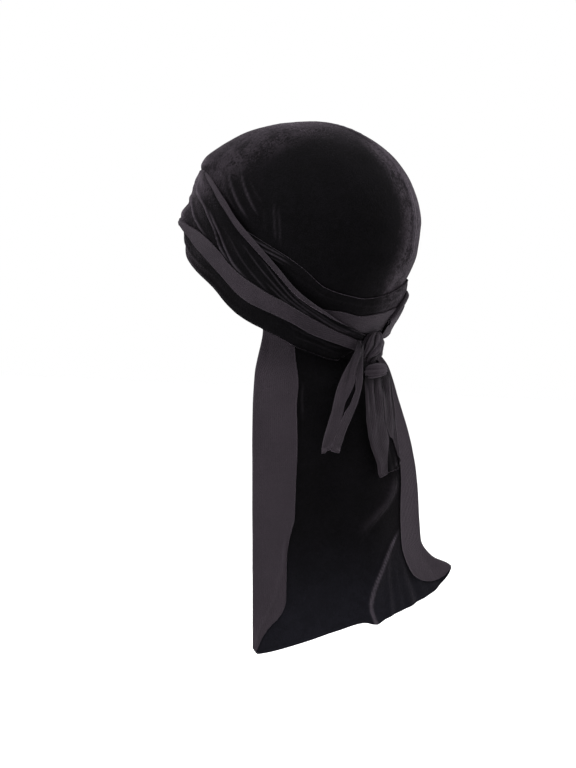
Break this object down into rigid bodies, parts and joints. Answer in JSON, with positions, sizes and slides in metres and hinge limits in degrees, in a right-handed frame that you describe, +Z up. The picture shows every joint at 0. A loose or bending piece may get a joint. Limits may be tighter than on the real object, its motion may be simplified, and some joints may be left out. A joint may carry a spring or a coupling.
{
  "type": "durag",
  "caption": "Velvet durag as tied on a head: seamed two-panel crown, crossed straps knotted at the nape, free ends and a long tail with rolled edges.",
  "frame": {"origin": "inner top of the crown, where the durag sits on a head", "axes": "+Z up; the wearer faces -Y and their left side is +X"},
  "size_m": [0.1669, 0.2105, 0.42],
  "materials": {
    "velvet": "black stretch velvet with a mauve sheen at grazing angles",
    "knit_back": "matt dark grey knitted back of the velvet"
  },
  "bodies": {
    "root": {"crown_left_panel": "velvet", "crown_right_panel": "velvet", "tail": "velvet", "strap_left": "velvet", "strap_right": "velvet", "knot": "knit_back", "knot_loop": "knit_back", "strap_end_left": "knit_back", "strap_end_right": "knit_back"}
  },
  "joints": []
}
